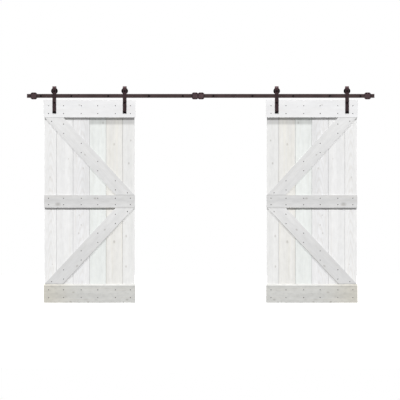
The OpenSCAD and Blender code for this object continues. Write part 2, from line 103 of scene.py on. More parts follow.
view_width = size.x * VIEW_SHARE
distance = view_width * LENS / SENSOR
camera = bpy.data.objects.new("camera", bpy.data.cameras.new("camera"))
camera.data.lens = LENS
camera.data.sensor_width = SENSOR
camera.data.clip_end = FARTHEST
middle = (drawn_box[0] + drawn_box[1]) / 2
camera.location = (VIEW_SIDE, rail_face - distance, middle.z + VIEW_DOWN)
camera.rotation_euler = (math.pi / 2, 0, 0)
bpy.context.scene.collection.objects.link(camera)
bpy.context.scene.camera = camera
print("camera stands", round(distance, 2), "m away and sees", round(view_width, 2), "m")

# %% [markdown]
# ## The light
# White boards on a white ground only read through their shadows. The light therefore
# comes down from the front, at about 45 degrees, so that each cross rail drops a narrow
# dark line as deep as it is thick. One lamp at each side keeps those level lines crisp.
# A slanting brace would drop a broad grey band from each of them, and an upright strap
# or a stop a grey edge, so these are taken off the side lamps' list of shadow makers, and
# only the weaker lamp in the middle gives them a thin shadow. A lamp behind keeps the
# backs of the doors readable. The sky gives the rest: it looks white to the camera, and
# lights the doors only softly.

# %% Hang the lamps
SUN_DROP = 1.1  # how far the light falls for each metre that it goes in
SUN_SOFTNESS = 3  # degrees
FRONT_SHARE = 0.71  # of all the light on a door's front
SKY_SHARE = 0.29
LAMPS = (("left", 1.0, 0.38), ("middle", 0.0, 0.24), ("right", -1.0, 0.38))
BACK_TRAVEL = (0.3, -1, -0.7)
BACK_ENERGY = 1.9
BACK_SOFTNESS = 20
NO_SIDE_SHADOW = ("_brace", "_strap", "_stop_plates", "_stop_blocks")


def hang_sun(name, travel, energy, softness):
    """A far lamp whose light travels along one direction; softness is its width in degrees."""
    lamp = bpy.data.lights.new("lamp_" + name, "SUN")
    lamp.energy = energy
    lamp.angle = math.radians(softness)
    holder = bpy.data.objects.new("lamp_" + name, lamp)
    holder.rotation_euler = Vector(travel).to_track_quat("-Z", "Y").to_euler()
    bpy.context.scene.collection.objects.link(holder)
    return holder


unshaded = bpy.data.collections.new("pieces_without_side_shadows")
for name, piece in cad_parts.items():
    if name.endswith(NO_SIDE_SHADOW):
        unshaded.objects.link(piece)
for member in unshaded.collection_objects:
    member.light_linking.link_state = "EXCLUDE"

for name, sideways, share in LAMPS:
    travel = Vector((sideways, 1, -SUN_DROP))
    facing = travel.normalized().y
    energy = math.pi * FRONT_SHARE * share / facing
    lamp = hang_sun(name, travel, energy, SUN_SOFTNESS)
    if sideways:
        lamp.light_linking.blocker_collection = unshaded
hang_sun("back", BACK_TRAVEL, BACK_ENERGY, BACK_SOFTNESS)

# %% [markdown]
# ## The sky and the floor
# The sky is a world shader. Its background is pure white where the camera looks straight
# at it, and a soft grey for the light that it sends to the doors. The floor is a plain
# pale sheet just under the doors. It glows a little, so that it stays as pale as the
# sky, and it throws no light back up.

# %% Make the sky and the floor
world = bpy.data.worlds.new("sky")
bpy.context.scene.world = world
world.use_nodes = True
sky = world.node_tree
soft = sky.nodes["Background"]
soft.inputs["Color"].default_value = (1, 1, 1, 1)
soft.inputs["Strength"].default_value = SKY_SHARE
white = sky.nodes.new("ShaderNodeBackground")
white.inputs["Color"].default_value = (1, 1, 1, 1)
seen = sky.nodes.new("ShaderNodeLightPath")
choose = sky.nodes.new("ShaderNodeMixShader")
sky.links.new(seen.outputs["Is Camera Ray"], choose.inputs[0])
sky.links.new(soft.outputs[0], choose.inputs[1])
sky.links.new(white.outputs[0], choose.inputs[2])
sky.links.new(choose.outputs[0], sky.nodes["World Output"].inputs["Surface"])
bpy.context.scene.view_settings.view_transform = "Standard"

FLOOR_GAP = 0.012
FLOOR_RADIUS = 9
FLOOR_SIDES = 96
floor_mesh = bpy.data.meshes.new("floor")
shape = bmesh.new()
bmesh.ops.create_circle(shape, cap_ends=True, radius=FLOOR_RADIUS, segments=FLOOR_SIDES)
shape.to_mesh(floor_mesh)
shape.free()
floor = bpy.data.objects.new("floor", floor_mesh)
floor.location = (0, 0, drawn_box[0].z - FLOOR_GAP)
bpy.context.scene.collection.objects.link(floor)
floor.visible_diffuse = False
floor.visible_glossy = False
floor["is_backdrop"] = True
print("floor lies at", round(floor.location.z, 3), "m")

# %% [markdown]
# ## Writing finishes as sums
# A finish is a tree of nodes, and most of its nodes do arithmetic. One small class wraps
# a node's output, and gives it +, -, *, / and **, so that a finish reads like a sum.
# Every other kind of node comes from its one method, node(), which sets the node up
# before it fills the node's sockets with numbers or with other layers.

# %% A layer of a finish
class Layer:
    """One output of a node: a number, a colour or a place that changes over a surface."""

    def __init__(self, socket):
        self.socket = socket

    def node(self, kind, settings, sockets, output=0):
        """Adds a node: its settings come first, then its sockets' numbers or layers."""
        made = self.socket.id_data.nodes.new("ShaderNode" + kind)
        for setting, value in settings.items():
            setattr(made, setting, value)
        for key, value in sockets.items():
            if isinstance(value, Layer):
                self.socket.id_data.links.new(value.socket, made.inputs[key])
            else:
                made.inputs[key].default_value = value
        return Layer(made.outputs[output])

    def maths(self, operation, first, second=0.0):
        """Adds a Math node."""
        return self.node("Math", {"operation": operation}, {0: first, 1: second})

    def __add__(self, other):
        return self.maths("ADD", self, other)

    def __sub__(self, other):
        return self.maths("SUBTRACT", self, other)

    def __rsub__(self, other):
        return self.maths("SUBTRACT", other, self)

    def __mul__(self, other):
        return self.maths("MULTIPLY", self, other)

    def __truediv__(self, other):
        return self.maths("DIVIDE", self, other)

    def __pow__(self, other):
        return self.maths("POWER", self, other)

    __radd__ = __add__
    __rmul__ = __mul__

    def size(self):
        """This number without its sign."""
        return self.maths("ABSOLUTE", self)

    def most(self, other):
        """The larger of two numbers at each point."""
        return self.maths("MAXIMUM", self, other)

    def fade(self, start, end):
        """A mask that goes smoothly from 0 where the layer is at start to 1 at end."""
        limits = {"From Min": start, "From Max": end}
        return self.node(
            "MapRange", {"interpolation_type": "SMOOTHSTEP"}, {"Value": self, **limits}
        )

    def fade_from(self, edge, start, end):
        """Such a mask, whose start and end are given in millimetres from an edge."""
        return self.fade(edge + start * MM, edge + end * MM)

    def noise(self, detail, roughness, lumps=1.0):
        """A soft random pattern, read at this place."""
        sockets = {"Vector": self, "Scale": lumps, "Detail": detail, "Roughness": roughness}
        return self.node("TexNoise", {}, sockets)

    def wave(self):
        """A smooth up and down between -1 and 1, once every 6.28."""
        return self.maths("SINE", self)

    def blend(self, under, paint, strength=1.0):
        """Uses this mask to lay a paint over a colour."""
        sockets = {0: self * strength, 6: under, 7: paint}
        return self.node("Mix", {"data_type": "RGBA"}, sockets, 2)

    def lit(self, bright):
        """This colour made brighter or darker."""
        return self.node("VectorMath", {"operation": "SCALE"}, {0: self, 3: bright})


print("a layer knows:", [word for word in vars(Layer) if not word.startswith("__")])

# %% [markdown]
# ## Starting a finish
# Every finish begins with a new material, the place of each point on the piece, and the
# Principled shader. Places are read in metres from the object itself, so a pattern has
# its true size, and it moves with the piece. Numbers that are the same all over go
# straight on the shader, and only what changes over the surface is linked.

# %% Helpers for every finish
def start_finish(name):
    """A new material: the material, its shader, and the place of each point."""
    material = bpy.data.materials.new(name)
    material.use_nodes = True
    shader = material.node_tree.nodes["Principled BSDF"]
    where = material.node_tree.nodes.new("ShaderNodeTexCoord")
    return material, shader, Layer(where.outputs["Object"])


def split(place):
    """The x, y and z of a place."""
    parts = place.node("SeparateXYZ", {}, {0: place})
    return [Layer(parts.socket.node.outputs[k]) for k in range(3)]


def at(x, y, z):
    """A place made of three layers or numbers, the first of them a layer."""
    return x.node("CombineXYZ", {}, {0: x, 1: y, 2: z})


def shade(red, green, blue):
    """A screen's 0 to 255 shade as a linear colour with full cover, by the sRGB curve."""
    parts = [level / 255 for level in (red, green, blue)]
    linear = [p / 12.92 if p < 0.04045 else ((p + 0.055) / 1.055) ** 2.4 for p in parts]
    return (*linear, 1)


def feed(shader, socket, layer):
    """Links a layer to one of the shader's sockets."""
    layer.socket.id_data.links.new(layer.socket, shader.inputs[socket])


def feed_bump(shader, height, depth, strength=1.0):
    """Tiny relief: the height layer's 0 to 1 stands for depth in metres."""
    sockets = {"Height": height, "Distance": depth, "Strength": strength}
    feed(shader, "Normal", height.node("Bump", {}, sockets))


print("pure white is", shade(255, 255, 255), "and mid grey", shade(128, 128, 128)[0])

# %% [markdown]
# ## Whitewashed boards
# The wood is knotty softwood under a thin coat of white. What shows is not one white:
# each board took the wash differently, the brush left long soft streaks, the hard summer
# rings show as faint lines, and knots bleed through as dim ovals that the grain flows
# round. All of it is stretched along the board, so the finish first works out how far
# each point lies along the grain and across it. The doors are mirror images, and taking
# the size of x alone makes their grain a mirror image too.
# A pattern is a row of five numbers: its lumps per metre across the grain, into the wood
# and along the grain, and then how detailed and how rough it is.

# %% Places along and across the grain
WANDER = 14 * MM
WANDER_LUMPS = (5, 5, 1.3, 2, 0.5)


def along_grain(out, height, run):
    """How far a place lies along a grain that runs at an angle."""
    return out * math.cos(run) + height * math.sin(run)


def across_grain(out, height, run):
    """How far a place lies across such a grain."""
    return height * math.cos(run) - out * math.sin(run)


def pattern(lumps, across, depth, along, shift):
    """Reads a pattern at a place. The shift is what makes two boards differ."""
    fine, deep, long, detail, roughness = lumps
    return at(across * fine, depth * deep, along * long + shift).noise(detail, roughness)


def grain_places(place, run, seed):
    """Each point's place along and across the grain, and its place on the door."""
    x, y, z = split(place)
    out = x.size()
    along = along_grain(out, z, run)
    across = across_grain(out, z, run)
    drift = pattern(WANDER_LUMPS, across, y, along, seed)
    return along, across + (drift - 0.5) * WANDER, (out, y, z)


print("1 m up an upright board is", along_grain(0, 1, math.pi / 2), "m along its grain")

# %% [markdown]
# A knot is the stump of a branch, cut across, so it is an oval with a dark rim of bark.
# The finish measures each point's distance from the knot, shrinks that distance along
# the grain to get an oval, and pushes the grain lines aside where they come near.

# %% Knots
KNOT_STRETCH = 1.5
HEART_EDGE = (1.15, 0.5)  # where a heart starts and is full, in radii
RIM_EDGE = (1.7, 1.1)
PUSH_EDGE = (4.5, 0.8)
PUSH_SHARE = 0.4


def knot_marks(along, across, knots):
    """The dim hearts and dark rims of the knots, and the grain pushed round them."""
    hearts, rims, pushed = across * 0.0, across * 0.0, across
    for knot_along, knot_across, radius in knots:
        aside = (across - knot_across) / radius
        ahead = (along - knot_along) / (radius * KNOT_STRETCH)
        far = (aside * aside + ahead * ahead) ** 0.5
        heart = far.fade(*HEART_EDGE)
        hearts = heart.most(hearts)
        rims = (far.fade(*RIM_EDGE) - heart).most(rims)
        pushed = pushed - aside * far.fade(*PUSH_EDGE) * (radius * PUSH_SHARE)
    return hearts, rims, pushed


def knot_places(node, run, shares):
    """Knots given as shares of a piece's box, from its outer edge and from its foot."""
    low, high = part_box(node)
    found = []
    for inwards, upwards, radius in shares:
        out = -low.x - inwards * (high.x - low.x)
        z = low.z + upwards * (high.z - low.z)
        found.append((along_grain(out, z, run), across_grain(out, z, run), radius * MM))
    return found


print("knots are", KNOT_STRETCH, "times as long as they are wide")

# %% [markdown]
# The wash itself is a white that is a little brighter or darker in broad bands, thinner
# in long streaks where the wood greys it, with fine fibres and ring lines on top. Most
# boards are cut through the middle of the tree, and show their rings as straight lines.
# A flat-sawn board is cut nearer its side, and its rings rise in tall arches about the
# board's middle.

# %% Patterns in the wash
BANDS = (16, 4, 0.7, 2, 0.5)
STREAKS = (75, 9, 1.4, 4, 0.6)
FIBRES = (420, 90, 9, 3, 0.6)
SMEARS = (34, 9, 13, 3, 0.6)
RING_SPACING = 9 * MM
RING_SWAY = 26
ARCHES_PER_METRE = 8
ARCH_STEEPNESS = 700
ARCH_SWAY = 2.4


def ring_lines(along, grain, bands, heart):
    """Straight ring lines, or tall arches about the heart of a flat-sawn board."""
    if heart is None:
        rings = grain * (math.tau / RING_SPACING) + bands * RING_SWAY
        return rings.wave().fade(0.5, 1.0)
    off = grain - heart
    turns = along * ARCHES_PER_METRE + off * off * ARCH_STEEPNESS + bands * ARCH_SWAY
    return (turns * math.tau).wave().fade(0.1, 1.0)


print("ring lines stand", round(RING_SPACING / MM), "mm apart")
print("arches are", round(1 / ARCHES_PER_METRE / MM), "mm apart")

# %% [markdown]
# Each pattern then darkens or tints the white by a small share. What faces up gets a
# painted shade, which keeps the tops of the rails and braces from shining where the
# lamps fall hardest. The coat is matt, and rougher where it is thin, and the fibres,
# rings and knots stand up by about a tenth of a millimetre.

# %% The whitewash finish
BARE_WOOD = (0.82, 0.79, 0.745)  # what is left of each colour of the white
KNOT_HEART = (0.68, 0.665, 0.64)
KNOT_RIM = (0.60, 0.58, 0.55)
THIN_SHOWS = 0.42  # how far each mark covers the white
RINGS_SHOW = 0.16
ARCHES_SHOW = 0.3
HEARTS_SHOW = 0.8
RIMS_SHOW = 0.3
WASH_LEVEL = 1.012
SWINGS = (0.20, 0.14, 0.07, 0.2)  # of the brightness by bands, streaks, fibres and smears
LEDGE_SLOPE = (0.35, 0.6)
LEDGE_SHADE = 0.45
WASH_ROUGH = 0.58
WASH_RELIEF = 0.12 * MM


def tinted(tone, shares):
    """A shade with each of its colours taken down by a share."""
    return (*(level * share for level, share in zip(tone, shares)), 1)


def whitewash(name, run, tone, seed, knots, marks, contrast, heart=None):
    """White wash on softwood, with a piece's own grain, tone, knots and marks.

    A heart is the middle line of a flat-sawn board, and makes its rings show as arches.
    """
    material, shader, place = start_finish(name)
    along, across, where = grain_places(place, run, seed)
    hearts, rims, grain = knot_marks(along, across, knots)
    depth = where[1]
    bands = pattern(BANDS, grain, depth, along, seed)
    streaks = pattern(STREAKS, grain, depth, along, seed * 3)
    fibres = pattern(FIBRES, grain, depth, along, seed)
    smears = pattern(SMEARS, grain, depth, along, seed)
    lines = ring_lines(along, grain, bands, heart)
    lines_show = RINGS_SHOW if heart is None else ARCHES_SHOW
    thin = streaks.fade(0.5, 0.75)
    bare = tinted(tone, BARE_WOOD)
    colour = thin.blend(tone, bare, THIN_SHOWS * contrast)
    colour = lines.blend(colour, bare, lines_show * contrast)
    colour = hearts.blend(colour, tinted(tone, KNOT_HEART), HEARTS_SHOW)
    colour = rims.blend(colour, tinted(tone, KNOT_RIM), RIMS_SHOW)
    bright = WASH_LEVEL
    for layer, swing in zip((bands, streaks, fibres, smears), SWINGS):
        bright = bright + (layer - 0.5) * (swing * contrast)
    # painted shade on faces that look up, where the lamps fall hardest
    upward = split(place.node("NewGeometry", {}, {}, "True Normal"))[2]
    bright = bright * (1 - upward.fade(*LEDGE_SLOPE) * LEDGE_SHADE)
    if marks:
        bright, colour = marks(bright, colour, where, seed)
    feed(shader, "Base Color", colour.lit(bright))
    feed(shader, "Roughness", WASH_ROUGH + thin * 0.12 + (fibres - 0.5) * 0.1)
    shader.inputs["Specular IOR Level"].default_value = 0.3
    relief = fibres * 0.45 + lines * 0.25 + streaks * 0.3 + hearts * 0.2
    feed_bump(shader, relief, WASH_RELIEF, 0.6)
    return material


print("shares of the white left where the wash is thin:", BARE_WOOD)

# %% [markdown]
# Some places have marks of their own. The seams between the boards get painted shade in
# their V. A thin painted shadow lies on each board just below the top rail, and makes the
# rail's own shadow longer, and some boards get a hand's width of painted shade there.
# Some boards are paler in their lower half, and one has a creamy cast that comes and goes.

# %% Marks on the boards
SEAM_SHADE_START = 0.3  # millimetres into a seam
SEAM_SHADE_END = 2.5
SEAM_SHADE_DARKENS = 0.4
# painted shadow under the top rail: its thin line, and the patches of painted shade below it
SHADOW_LINE_DARKENS = 0.42
SHADE_PATCHES = (30, 4, 5, 2, 0.5)
CREAMY_PARTS = (30, 4, 1.2, 1, 0.5)
WARM_CAST = shade(232, 229, 219)
top_rail_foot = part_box("left_top_rail")[0].z
mid_low, mid_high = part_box("left_mid_rail")


def board_marks(paler, dull, warm):
    """Painted shade in the seams and under the top rail, a painted shadow line, a paler foot, a
    warm cast.
    """
    def marks(bright, colour, where, seed):
        out, depth, height = where
        # painted shade inside the seams' V and in the gaps between the boards
        seam_shade = depth.fade_from(board_face, SEAM_SHADE_START, SEAM_SHADE_END)
        seam_shade = seam_shade * depth.fade_from(board_back, -SEAM_SHADE_START, -SEAM_SHADE_END)
        # painted shadow: a thin line just below the top rail's own shadow, and on some boards a
        # patch of painted shade below it
        under = depth.fade_from(board_face, 8, 6) * height.fade_from(top_rail_foot, -15, -20)
        line = under * height.fade_from(top_rail_foot, -31, -25)
        shade_patch = under * height.fade_from(top_rail_foot, -88, -58)
        shade_patch = shade_patch * (0.7 + 0.6 * pattern(SHADE_PATCHES, out, depth, height, seed))
        foot = height.fade(mid_high.z, mid_low.z)
        bright = bright * (1 - seam_shade * SEAM_SHADE_DARKENS) * (1 - line * SHADOW_LINE_DARKENS)
        bright = bright * (1 - shade_patch * dull) * (1 + foot * paler)
        cast = pattern(CREAMY_PARTS, out, depth, height, seed).fade(0.45, 0.62)
        return bright, cast.blend(colour, WARM_CAST, warm)
    return marks


print("the dull line lies under", round(top_rail_foot, 3), "m, where the top rail ends")

# %% [markdown]
# A brace shows a thin dark line where it butts against the rails, is paler towards its
# upper end, and has a painted shadow along its lower edge. The bottom rail is greyer and
# warmer at its outer end, and blotched. Its bevel gets a painted highlight, and its foot
# is scuffed where it gets kicked and mopped.

# %% Marks on the braces and the bottom rail
ENDS_DARKEN = 0.5
PALE_FROM = 0.3  # of a brace's height
BLOTCHES = (22, 22, 30, 3, 0.5)
SCUFFS = (90, 60, 50, 3, 0.7)
FOOT_WARM = shade(203, 198, 184)
foot_low, foot_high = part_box("left_bottom_rail")
door_width = foot_high.x - foot_low.x


def brace_marks(node, run, paler, edge_shadow):
    """Dark lines at a brace's two ends, a paler upper end, and a painted shadow along its lower
    edge.
    """
    low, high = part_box(node)
    edge = across_grain(-high.x, high.z, run)

    def marks(bright, colour, where, seed):
        out, _, height = where
        ends = height.fade_from(high.z, -5, -1) + height.fade_from(low.z, 5, 1)
        climb = height.fade(low.z + PALE_FROM * (high.z - low.z), high.z)
        # painted shadow along the brace's lower edge, fading out towards its top
        rim = across_grain(out, height, run).fade_from(edge, 6, 2)
        rim = rim * height.fade_from(high.z, -30, -120)
        bright = bright * (1 - ends * ENDS_DARKEN) * (1 + climb * paler)
        return bright * (1 - rim * edge_shadow), colour
    return marks


def scuffed_foot(bright, colour, where, seed):
    """A warmer outer end, soft blotches, scuffs along the lower edge and a painted highlight on
    the bevel.
    """
    out, depth, height = where
    outer = out.fade(-foot_high.x + 0.55 * door_width, -foot_low.x)
    blotches = pattern(BLOTCHES, out, depth, height, seed).fade(0.5, 0.7)
    scuffs = pattern(SCUFFS, out, depth, height, seed).fade(0.56, 0.7)
    low_down = height.fade_from(foot_low.z, 32, 4)
    # painted highlight on the bevel, which faces up into the light
    bevel_highlight = height.fade_from(foot_high.z, -20, -6)
    arris = height.fade_from(foot_high.z, -30, -26) * height.fade_from(foot_high.z, -18, -22)
    bright = bright * (1 + bevel_highlight * 0.26) * (1 - arris * 0.08)
    bright = bright * (1 - blotches * 0.08) * (1 - scuffs * low_down * 0.5)
    return bright, outer.blend(colour, FOOT_WARM, 0.55)


print("a door is", round(door_width / MM), "mm wide at its foot")

# %% [markdown]
# ## One finish for each board and rail
# No two boards are alike, so each gets its own tone, seed and knots. The slanting
# braces need the angle of their grain, which is the angle of their long edges. A brace
# is cut level at both ends, so that angle follows from its box and its level cut.

# %% The boards' looks
FLAT, STRAIGHT = True, False
BOARD_LOOKS = (
    # tone, flat-sawn or not, paler foot, painted shade at the top, warm cast, knots
    (shade(238, 238, 238), FLAT, 0.035, 0, 0, ((0.42, 0.62, 4), (0.6, 0.19, 4))),
    (shade(238, 238, 238), STRAIGHT, 0, 0, 0, ((0.7, 0.71, 4),)),
    (
        shade(233, 233, 234), FLAT, 0.05, 0, 0,
        ((0.362, 0.432, 5), (0.479, 0.384, 6), (0.333, 0.343, 6), (0.602, 0.664, 5)),
    ),
    (shade(236, 239, 237), STRAIGHT, 0, 0.29, 0, ((0.799, 0.888, 8), (0.3, 0.52, 4))),
    (shade(235, 234, 231), STRAIGHT, 0, 0.29, 0.3, ((0.471, 0.782, 8), (0.471, 0.301, 9))),
    (
        shade(235, 235, 234), STRAIGHT, 0.01, 0.29, 0,
        ((0.528, 0.688, 7), (0.688, 0.801, 6), (0.3, 0.329, 8), (0.3, 0.179, 7)),
    ),
)


def brace_run(node, cut_share):
    """The angle of a brace's long edges, from its box and its level cut's share of it."""
    low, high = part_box(node)
    return math.atan2(high.z - low.z, (high.x - low.x) * (1 - cut_share))


print("boards with a look of their own:", len(BOARD_LOOKS))

# %% [markdown]
# Boards stand upright, rails lie level and braces lean. Each finish is made once and
# serves both doors, because the doors mirror each other.

# %% Make the wood finishes
LEVEL = 0.0
UPRIGHT = math.pi / 2
BRACE_CUT = 0.2085
SEED_STEP = 3.7
wood = {}
for i, (tone, flat, paler, dull, warm, shares) in enumerate(BOARD_LOOKS, 1):
    low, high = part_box(f"left_board_{i}")
    heart = (low.x + high.x) / 2 if flat else None
    knots = knot_places(f"left_board_{i}", UPRIGHT, shares)
    marks = board_marks(paler, dull, warm)
    wood[f"board_{i}"] = whitewash(
        f"wash_board_{i}", UPRIGHT, tone, i * SEED_STEP, knots, marks, 1, heart
    )

up_run = brace_run("left_upper_brace", BRACE_CUT)
down_run = -brace_run("left_lower_brace", BRACE_CUT)
RAILS = {
    # the grain's run, tone, seed, knots, marks and contrast
    "top_rail": (
        LEVEL, shade(239, 239, 240), 31.0, ((0.39, 0.69, 6), (0.66, 0.6, 3)), None, 0.7,
    ),
    "mid_rail": (
        LEVEL, shade(215, 215, 215), 47.0, ((0.152, 0.29, 15), (0.561, 0.749, 8)), None, 1.35,
    ),
    "bottom_rail": (
        LEVEL, shade(206, 206, 203), 58.0,
        ((0.325, 0.559, 8), (0.293, 0.062, 7), (0.483, 0.062, 7), (0.91, 0.178, 8)),
        scuffed_foot, 1.4,
    ),
    "upper_brace": (
        up_run, shade(224, 224, 224), 66.0,
        ((0.45, 0.52, 6),), brace_marks("left_upper_brace", up_run, 0.07, 0), 1,
    ),
    "lower_brace": (
        down_run, shade(217, 217, 217), 75.0, ((0.669, 0.713, 7), (0.362, 0.236, 8)),
        brace_marks("left_lower_brace", down_run, 0.13, 0.35), 1,
    ),
}
for part, (run, tone, seed, shares, marks, contrast) in RAILS.items():
    spots = knot_places("left_" + part, run, shares)
    wood[part] = whitewash("wash_" + part, run, tone, seed, spots, marks, contrast)
print("wood finishes:", sorted(wood))

# %% [markdown]
# ## Coated, bare and moulded parts
# The track and the hangers are steel bar with a dark bronze powder coat: matt, with the
# faint orange peel that powder leaves. A strap gets a painted highlight over its bend,
# where the light catches it, and painted shade at its foot. Bolts have a black oxide
# skin with hardly any shine. The nails are plain steel gone dull, and the races and
# sleeves are bright. The rubber is brown, and the nylon of the wheels and discs near
# black. One helper makes them all, because they differ only in colour, in how rough
# they are and in their fine relief.

# %% One helper for all the hardware finishes
CLOUDS_PER_METRE = 14
COAT = {"rough": 0.55, "patchy": 0.16, "grain": 650, "relief": 0.07}


def hardware(
    name, colour, rough, patchy, grain=900, relief=0.03, metal=0.0, gloss=0.2, painted_light=None
):
    """A plain finish that varies softly over the piece, with its own fine relief.

    Grain counts the specks in a metre, and relief is how high they stand in millimetres.
    """
    material, shader, place = start_finish(name)
    clouds = place.noise(3, 0.6, CLOUDS_PER_METRE)
    specks = place.noise(2, 0.5, grain)
    bright = 1 + (specks - 0.5) * patchy
    # painted light, if given: a strap's painted highlight and painted shade
    if painted_light:
        bright = painted_light(bright, split(place)[2])
    dark = tinted(colour, [1 - patchy] * 3)
    pale = tinted(colour, [1 + patchy] * 3)
    feed(shader, "Base Color", clouds.fade(0.3, 0.7).blend(dark, pale).lit(bright))
    feed(shader, "Roughness", rough + (clouds - 0.5) * 0.2 + (specks - 0.5) * 0.08)
    shader.inputs["Metallic"].default_value = metal
    shader.inputs["Specular IOR Level"].default_value = gloss
    feed_bump(shader, specks, relief * MM, 0.5)
    return material


strap_low, strap_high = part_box("left_outer_strap")


def strap_painted_light(bright, height):
    """A painted highlight over the bend, where the light catches it, and painted shade at the
    foot.
    """
    # painted highlight over the bend, and painted shade at the foot
    shoulder_highlight = height.fade_from(strap_high.z, -47, -31)
    crown_highlight = height.fade_from(strap_high.z, -29, -7)
    foot = height.fade_from(strap_low.z, 26, 16)
    return bright * (1 + shoulder_highlight * 0.35 + crown_highlight * 1.8) * (1 - foot * 0.8)


track_coat = hardware("bronze_coat_track", shade(67, 53, 53), **COAT)
strap_coat = hardware("bronze_coat_strap", shade(56, 41, 43), **COAT, painted_light=strap_painted_light)
stop_coat = hardware("bronze_coat_stop", shade(80, 63, 66), **COAT)
black_steel = hardware("black_oxide", shade(10, 6, 7), rough=0.5, patchy=0.2, gloss=0.12)
wall_bolt_skin = hardware(
    "worn_black_oxide", shade(30, 24, 25), rough=0.55, patchy=0.2, gloss=0.12
)
nail_skin = hardware("dull_nail_steel", shade(30, 29, 29), rough=0.55, patchy=0.45, grain=300)
bright_steel = hardware(
    "bright_steel", shade(172, 172, 176), rough=0.3, patchy=0.06,
    grain=1400, relief=0.01, metal=1.0,
)
rubber = hardware(
    "brown_rubber", shade(56, 44, 46), rough=0.85, patchy=0.15, grain=1100, relief=0.05
)
nylon = hardware("black_nylon", shade(36, 36, 37), rough=0.6, patchy=0.1, grain=500, relief=0.02)
wheel_skin = hardware(
    "black_wheel", shade(10, 6, 7), rough=0.5, patchy=0.1, grain=700, relief=0.02, gloss=0.12
)
print("finishes in all:", len(bpy.data.materials))

# %% [markdown]
# ## Taking the sharp edges off
# No real board or bar has a perfectly sharp edge: a plane, a file or the coat itself
# rounds it, and that thin round is what catches the light. The wood and the steel bar
# keep the meshes that they came with. Three modifiers dress them: Weld joins the faces,
# Decimate clears the lines inside flat faces, and Bevel rounds the edges that are left.

# %% Dress the pieces that keep their mesh
WELD_GAP = 0.01 * MM
FLAT_ANGLE = math.radians(1)
EDGE_ANGLE = math.radians(40)
WOOD_EDGE = 0.7
RAIL_EDGE = 0.7
STRAP_EDGE = 0.8
STOP_EDGE = 0.9
PAD_EDGE = 1.0


def dress(node, finish, edge):
    """Rounds a drawn piece's edges by a width in millimetres, and gives it its finish."""
    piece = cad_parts[node]
    weld = piece.modifiers.new("weld", "WELD")
    weld.merge_threshold = WELD_GAP
    clear = piece.modifiers.new("clear", "DECIMATE")
    clear.decimate_type = "DISSOLVE"
    clear.angle_limit = FLAT_ANGLE
    bevel = piece.modifiers.new("round", "BEVEL")
    bevel.width = edge * MM
    bevel.segments = 2
    bevel.limit_method = "ANGLE"
    bevel.angle_limit = EDGE_ANGLE
    for holder in piece.material_slots:
        holder.material = finish


for door in DOORS:
    for part, finish in wood.items():
        dress(f"{door}_{part}", finish, WOOD_EDGE)
    for hanger in HANGERS:
        dress(f"{door}_{hanger}_strap", strap_coat, STRAP_EDGE)
    dress(f"rail_{door}", track_coat, RAIL_EDGE)
dress("splice_plate", track_coat, RAIL_EDGE)
for stop in ("end", "mid"):
    dress(f"{stop}_stop_plates", stop_coat, STOP_EDGE)
    dress(f"{stop}_stop_blocks", stop_coat, STOP_EDGE)
dress("stop_pads", rubber, PAD_EDGE)
dressed = [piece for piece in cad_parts.values() if len(piece.modifiers) > 0]
print("pieces that keep their mesh:", len(dressed))

# %% [markdown]
# ## Finding the small parts
# The drawing keeps like parts together: all the bolts of a door are one node. To put a
# better bolt where each plain one is, the mesh is welded and then walked from point to
# point along its edges. Every group of points that hang together is one bolt, and its
# box says where it starts, where it ends and how wide it is.

# %% Walk a node's mesh, solid by solid
SAME_POINT = 0.005 * MM


def solids(node):
    """The lowest and highest corner of every separate solid in a drawn node."""
    mesh = bmesh.new()
    mesh.from_mesh(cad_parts[node].data)
    bmesh.ops.remove_doubles(mesh, verts=mesh.verts, dist=SAME_POINT)
    left, boxes = set(mesh.verts), []
    while left:
        reached = [left.pop()]
        for point in reached:
            for edge in point.link_edges:
                other = edge.other_vert(point)
                if other in left:
                    left.remove(other)
                    reached.append(other)
        spots = [point.co for point in reached]
        low = Vector([min(spot[k] for spot in spots) for k in range(3)])
        high = Vector([max(spot[k] for spot in spots) for k in range(3)])
        boxes.append((low, high))
    mesh.free()
    return sorted(boxes, key=lambda box: (round(box[0].x, 4), round(box[0].z, 4), box[0].y))


print("nails in a door:", len(solids("left_nails")))
print("wall bolts:", len(solids("lag_bolts")))

# %% [markdown]
# ## Turned shapes
# Bolts, nuts, sleeves, wheels and nails are all round, or round with flats. A lathe
# makes them: the shape is a list of rows, each with a radius and a depth along the
# axle, and every row becomes a ring of points. A radius can also be a function of the
# angle. That gives hexagons with their chamfered corners, sockets, and screw threads,
# from the same few lines.

# %% The lathe
def turned(rows, sides=48, ring=False):
    """Points and faces of a shape turned about Y. A ring has a bore, so it closes on itself."""
    points, faces = [], []
    for radius, depth in rows:
        for k in range(sides):
            angle = math.tau * k / sides
            reach = radius(angle) if callable(radius) else radius
            deep = depth(angle) if callable(depth) else depth
            points.append((reach * math.cos(angle) * MM, deep * MM, reach * math.sin(angle) * MM))
    last = len(rows) if ring else len(rows) - 1
    for row in range(last):
        near, far = row * sides, (row + 1) % len(rows) * sides
        for k in range(sides):
            step = (k + 1) % sides
            faces.append((near + k, near + step, far + step, far + k))
    if not ring:
        faces.append(tuple(range(sides)))
        faces.append(tuple(range(len(points) - sides, len(points))))
    return points, faces


def hexagon(flats):
    """A hexagon's reach at each angle, with corners along X."""
    def reach(angle):
        return flats / 2 / math.cos(angle % (math.pi / 3) - math.pi / 6)
    return reach


def chamfer(flats, inner, face, way=1):
    """The depth of a hexagon's rim where a 30 degree cone has taken its corners off."""
    reach = hexagon(flats)

    def deep(angle):
        return face + way * (reach(angle) - inner) * math.tan(math.pi / 6)
    return deep


print("a 16 mm hexagon reaches", round(hexagon(16)(0), 2), "mm at its corners")

